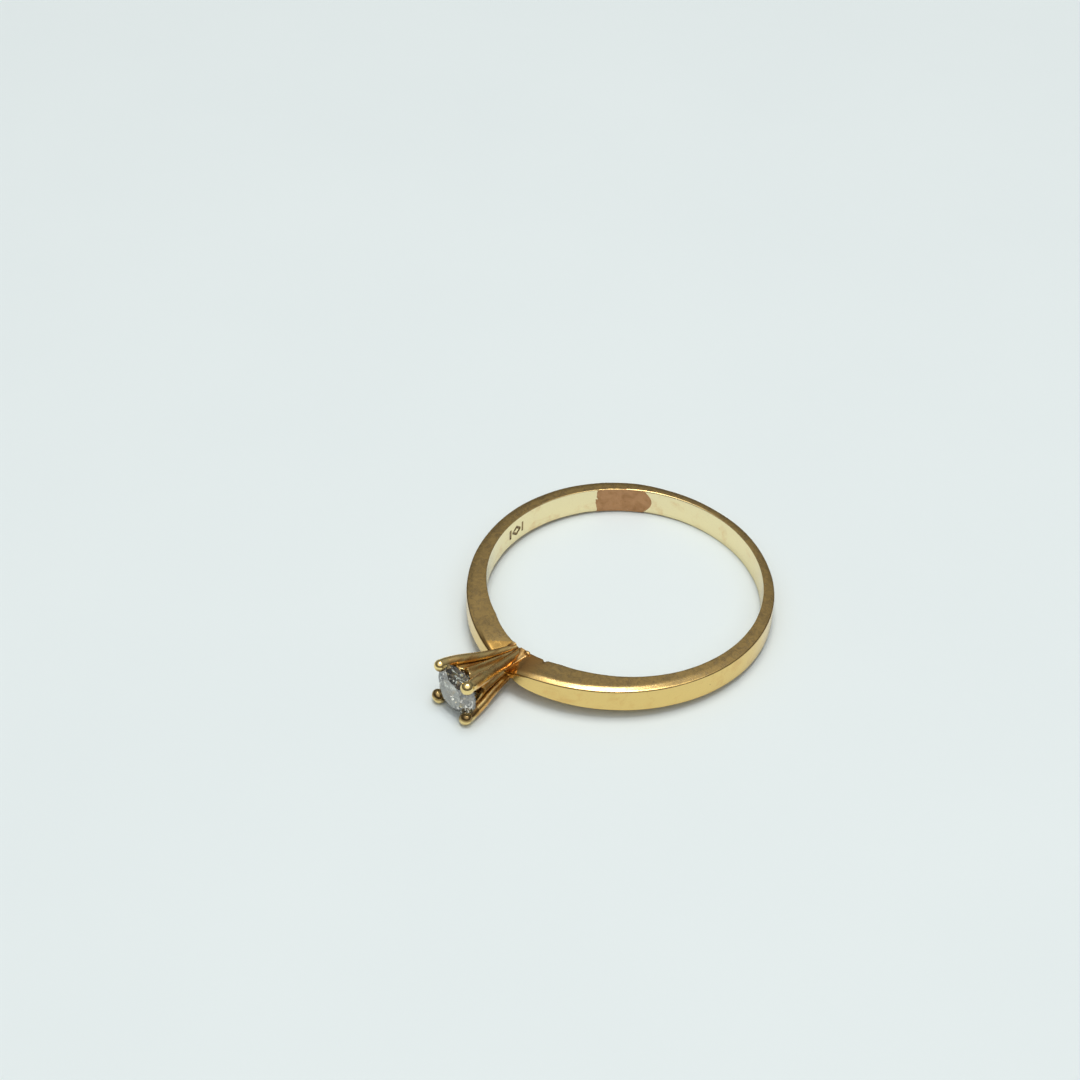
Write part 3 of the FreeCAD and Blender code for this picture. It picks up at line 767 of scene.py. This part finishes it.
def stone_tool():
    """The diamond's own solid in millimetres, a hair larger, to cut the prongs' seats."""
    source = frame["nodes"]["diamond"]
    mesh = bmesh.new()
    mesh.from_mesh(source.data)
    bmesh.ops.remove_doubles(mesh, verts=mesh.verts, dist=1e-7)
    bmesh.ops.scale(mesh, vec=Vector((1 / MM,) * 3), verts=mesh.verts)
    middle = sum((v.co for v in mesh.verts), Vector()) / len(mesh.verts)
    larger = Vector((SEAT_CLEARANCE,) * 3)
    bmesh.ops.scale(mesh, vec=larger, space=Matrix.Translation(-middle), verts=mesh.verts)
    bmesh.ops.recalc_face_normals(mesh, faces=mesh.faces)
    return to_object("stone_tool", mesh)


def ball(name, centre, radii):
    """Ellipsoid along the axes."""
    mesh = bmesh.new()
    bmesh.ops.create_icosphere(mesh, subdivisions=4, radius=1.0)
    bmesh.ops.scale(mesh, vec=Vector(radii), verts=mesh.verts)
    bmesh.ops.translate(mesh, vec=Vector(centre), verts=mesh.verts)
    return to_object(name, mesh)


def build_rod(along_sign, across_sign, levels=40, points=28):
    """Flaring rod of a prong, from below the bore wall to the tip's middle."""
    rings = []
    for i in range(levels + 1):
        level = -PRONG_DEPTH + (PRONG[-1][0] + PRONG_DEPTH) * i / levels
        along, across, radius = smooth_between(PRONG, level)
        ring = []
        for k in range(points):
            t = 2 * math.pi * k / points
            x = along_sign * along + radius * math.cos(t)
            y = across_sign * across + radius * math.sin(t)
            ring.append(Vector((x, y, level)))
        rings.append(ring)
    return skin("rod", rings)


def build_prong(along_sign, across_sign, bead_radius, spread, seed):
    """Flaring prong with its round tip pushed over the stone's edge."""
    level, along, across, _ = PRONG[-1]
    rod = build_rod(along_sign, across_sign)
    tip = ball("tip", (0, 0, 0), (bead_radius, bead_radius * spread, bead_radius))
    tip.data.transform(Matrix.Rotation(math.atan2(across_sign, along_sign), 4, "Z"))
    tip.data.transform(Matrix.Translation((along_sign * along, across_sign * across, level)))
    prong = melt(join("prong", [rod, tip]), passes=6)
    wear(prong, amount=0.02, pitch=0.9, seed=seed)
    prong.data.transform(HEAD)
    return prong


def web_outline(level, inset=0.0, per_side=22):
    """Outline of the base at one height, or of its plain hollow where an inset is given.

    The base widens at the foot. Above it, each side sinks between the prongs, but for a ridge
    along its middle.
    """
    along, across, _ = smooth_between(PRONG, level)
    foot = max(0.0, 1 - level)
    half_x = along + 0.05 + 0.07 * foot - inset
    half_y = across + 0.05 + 0.15 * foot - inset
    fluted = 0.0 if inset else min(1.0, max(0.0, (level - 0.5) / 1.3))
    points = []
    corners = ((1, -1), (1, 1), (-1, 1), (-1, -1))
    for i, (sx, sy) in enumerate(corners):
        next_x, next_y = corners[(i + 1) % 4]
        one = Vector((sx * half_x, sy * half_y))
        two = Vector((next_x * half_x, next_y * half_y))
        outward = Vector(((sx + next_x) / 2, (sy + next_y) / 2))
        length = (two - one).length
        for k in range(per_side):
            t = k / per_side
            ridge = 0.27 * math.exp(-(((t - 0.5) * length / 0.17) ** 2)) - 0.10
            point = one.lerp(two, t) + outward * (ridge * fluted * math.sin(math.pi * t) ** 0.3)
            points.append(Vector((point.x, point.y, level)))
    return points


def build_hollow(levels=13, step=0.2):
    """The hollow under the stone, whose wall thins upwards."""
    rings = []
    for i in range(levels):
        level = HOLLOW_FLOOR + i * step
        wall = 0.42 - 0.17 * min(1.0, (level - HOLLOW_FLOOR) / 2.0)
        rings.append(web_outline(level, wall))
    return skin("hollow", rings)


def build_gap(direction, bottom, arc_points=24):
    """Round-bottomed cutter through the base, between two pairs of prongs."""
    outline = []
    for k in range(arc_points + 1):
        t = math.pi + math.pi * k / arc_points
        outline.append((GAP_RADIUS * math.cos(t), bottom + GAP_RADIUS * (1 + math.sin(t))))
    wide, top = GAP_RADIUS * 1.1, BASE_TOP + 0.6
    outline += [(wide, top), (-wide, top)]
    rings = []
    for reach in (-2.0, 2.0):
        if direction == "across":
            rings.append([Vector((u, reach, v)) for u, v in outline])
        else:
            rings.append([Vector((reach, u, v)) for u, v in outline])
    return skin("gap", rings)


def build_base(step=0.16):
    """Fluted, flaring foot with a hollow under the stone and round gaps between the prongs."""
    rings = []
    for i in range(int((BASE_TOP + BASE_DEPTH) / step) + 1):
        level = -BASE_DEPTH + i * step
        outline = web_outline(max(level, 0.0))
        rings.append([Vector((point.x, point.y, level)) for point in outline])
    base = skin("base", rings)
    tools = (build_hollow(), build_gap("across", UPPER_WEB_TOP), build_gap("along", WEB_TOP))
    for tool in tools:
        base = cut(base, tool)
    discard(*tools)
    base = melt(base, passes=8)
    wear(base, amount=0.02, pitch=0.8, seed=9.0)
    base.data.transform(HEAD)
    return base


def bore_tool(points=240, clearance=0.005, reach=3.0):
    """The finger hole, to trim the head's foot flush with the bore."""
    outline = []
    for k in range(points):
        angle = 360 * k / points
        radius = inner_radius(angle if angle < 180 else angle - 360)
        outline.append((angle, radius + clearance))
    rings = []
    for height in (-reach, reach):
        rings.append([on_band(angle, radius, height) for angle, radius in outline])
    return skin("bore_tool", rings)


def build_joint(side, seed, steps=14):
    """Solder fillet where the band meets the head: a collar that thins away from it."""
    sign = 1 if side == "right" else -1
    span = 5.6 if side == "right" else 2.4
    start = 1.3
    rings = []
    for i in range(steps + 1):
        reach = span * i / steps
        grow = 0.07 * (1 - (i / steps) ** 2.5) - 0.015
        ring = []
        for r, h in band_outline(sign * (start + reach), side, grow):
            outward = max(0.0, (r - BORE) / 2.0)
            ring.append(on_band(sign * (start + reach * (1 - 0.6 * outward)), r, h))
        rings.append(ring)
    lumps = [skin("collar", rings)]
    if side == "right":
        bead = on_band(SOLDER_BEAD, inner_radius(SOLDER_BEAD) + 0.10, 0.64)
        lumps.append(ball("solder_bead", bead, (0.22, 0.15, 0.14)))
    joint = melt(join("joint", lumps), passes=5)
    wear(joint, amount=0.014, pitch=0.6, seed=seed)
    return joint


stone = stone_tool()
bore = bore_tool()
TIPS = {  # side along the band and across it, radius, how much wider across the rod than deep
    "upper_right": (1, 1, 0.43, 1.0),
    "upper_left": (-1, 1, 0.38, 1.0),
    "lower_right": (1, -1, 0.39, 1.25),
    "lower_left": (-1, -1, 0.39, 1.2),
}
for number, (corner, form) in enumerate(TIPS.items()):
    prong = cut(cut(build_prong(*form, 11.0 + number), stone), bore)
    mark_painted_shade(prong, prong_painted_shade)
    prong.name = f"{corner}_prong"
    finish_piece(prong, f"prong_{corner}", HEAD_GOLD)
base = mark_painted_shade(cut(cut(build_base(), bore), stone), web_painted_shade)
base.name = "fluted_base"
finish_piece(base, "head_base", HEAD_GOLD)
for number, side in enumerate(("left", "right")):
    joint = mark_painted_shade(cut(build_joint(side, 21.0 + number), bore), web_painted_shade)
    joint.name = f"{side}_joint"
    finish_piece(joint, f"head_solder_{side}", JOINT_SOLDER)
discard(stone, bore)
frame["nodes"]["diamond"].data.materials.clear()
frame["nodes"]["diamond"].data.materials.append(DIAMOND)


# ---------------------------------------------------------------- stage

FLOOR_HALF = 1.5  # metres
FLOOR_GAP = 0.01  # millimetres under the plane that the ring lies on
ROOM_LIGHT = ((0.0, 0.08), (0.26, 0.13), (0.67, 0.27), (0.87, 0.34), (1.0, 0.50))  # up, grey
TURN, LIFT, ROLL, PAN, TILT = (math.radians(a) for a in (43.0, 42.37, 4.67, -2.19, 1.28))
DISTANCE = 138.1 * MM
SENSOR, LENS = 36.0, 73.33  # millimetres


def lowest_plane():
    """The plane that the ring lies on, by both lower tips and the back of the band."""
    level, along, across, _ = PRONG[-1]
    bead = HEAD @ Vector((along, -across, level))
    back_y, back_z = BORE + 0.3, -0.915  # the band's lower rear edge
    slope = math.atan2(back_z - (bead.z - BEAD_RADIUS), back_y - bead.y)
    return slope, Vector((0, back_y, back_z))


def build_floor():
    """Large pale sheet just under the ring."""
    slope, touch = lowest_plane()
    mesh = bmesh.new()
    bmesh.ops.create_grid(mesh, x_segments=8, y_segments=8, size=FLOOR_HALF)
    floor = to_object("floor", mesh)
    floor.rotation_euler = (slope, 0, 0)
    floor.location = (touch - Vector((0, 0, FLOOR_GAP))) * MM
    material, tree, shader = new_material("pale_floor")
    g = Graph(tree)
    paper = g.noise(g.place, 0.05, 3.0, 0.5)
    tree.links.new(g.mix(paper, PAPER_DIM, PAPER_BRIGHT), shader.inputs["Base Color"])
    shader.inputs["Roughness"].default_value = 0.7
    floor.data.materials.append(material)


def build_world():
    """Dim room, darker near the horizon and brighter overhead."""
    world = bpy.data.worlds.new("room")
    bpy.context.scene.world = world
    world.use_nodes = True
    tree = world.node_tree
    where = tree.nodes.new("ShaderNodeTexCoord")
    parts = tree.nodes.new("ShaderNodeSeparateXYZ")
    ramp = tree.nodes.new("ShaderNodeValToRGB")
    tree.links.new(where.outputs["Generated"], parts.inputs[0])
    tree.links.new(parts.outputs["Z"], ramp.inputs["Fac"])
    elements = ramp.color_ramp.elements
    ends = [(elements[0], ROOM_LIGHT[0]), (elements[1], ROOM_LIGHT[-1])]
    for element, (position, value) in ends:
        element.position = position
        element.color = (value, value, value, 1)
    for position, value in ROOM_LIGHT[1:-1]:
        elements.new(position).color = (value, value, value, 1)
    tree.links.new(ramp.outputs["Color"], tree.nodes["Background"].inputs["Color"])


def build_lamp(name, place, size, power):
    """Round soft light that looks at the ring."""
    lamp = bpy.data.lights.new(name, "AREA")
    lamp.shape = "DISK"
    lamp.size = size
    lamp.energy = power
    holder = bpy.data.objects.new(name, lamp)
    holder.location = place
    holder.rotation_euler = (-holder.location).to_track_quat("-Z", "Y").to_euler()
    bpy.context.scene.collection.objects.link(holder)


def swung(one, two, angle):
    """Two axes swung by an angle in their own plane."""
    c, s = math.cos(angle), math.sin(angle)
    return one * c + two * s, two * c - one * s


def build_camera():
    """Three quarters view from above, the head at the lower left."""
    heading = Matrix.Rotation(TURN, 3, "Z")
    right = heading @ Vector((1, 0, 0))
    ahead = heading @ Vector((0, math.cos(LIFT), -math.sin(LIFT)))
    up = heading @ Vector((0, math.sin(LIFT), math.cos(LIFT)))
    right, up = swung(right, up, ROLL)
    place = -ahead * DISTANCE
    right, ahead = swung(right, ahead, -PAN)
    up, ahead = swung(up, ahead, -TILT)
    lens = bpy.data.cameras.new("camera")
    lens.sensor_width = SENSOR
    lens.lens = LENS
    lens.clip_start = 0.005
    camera = bpy.data.objects.new("camera", lens)
    turned = Matrix((right, up, -ahead)).transposed().to_4x4()
    camera.matrix_world = Matrix.Translation(place) @ turned
    bpy.context.scene.collection.objects.link(camera)
    bpy.context.scene.camera = camera


build_floor()
build_world()
build_lamp("overhead", place=(-0.02, 0.02, 0.50), size=0.21, power=1.15)
build_lamp("fill", place=(0.13, -0.14, 0.52), size=0.90, power=1.45)
build_camera()
bpy.context.scene.view_settings.view_transform = "Standard"
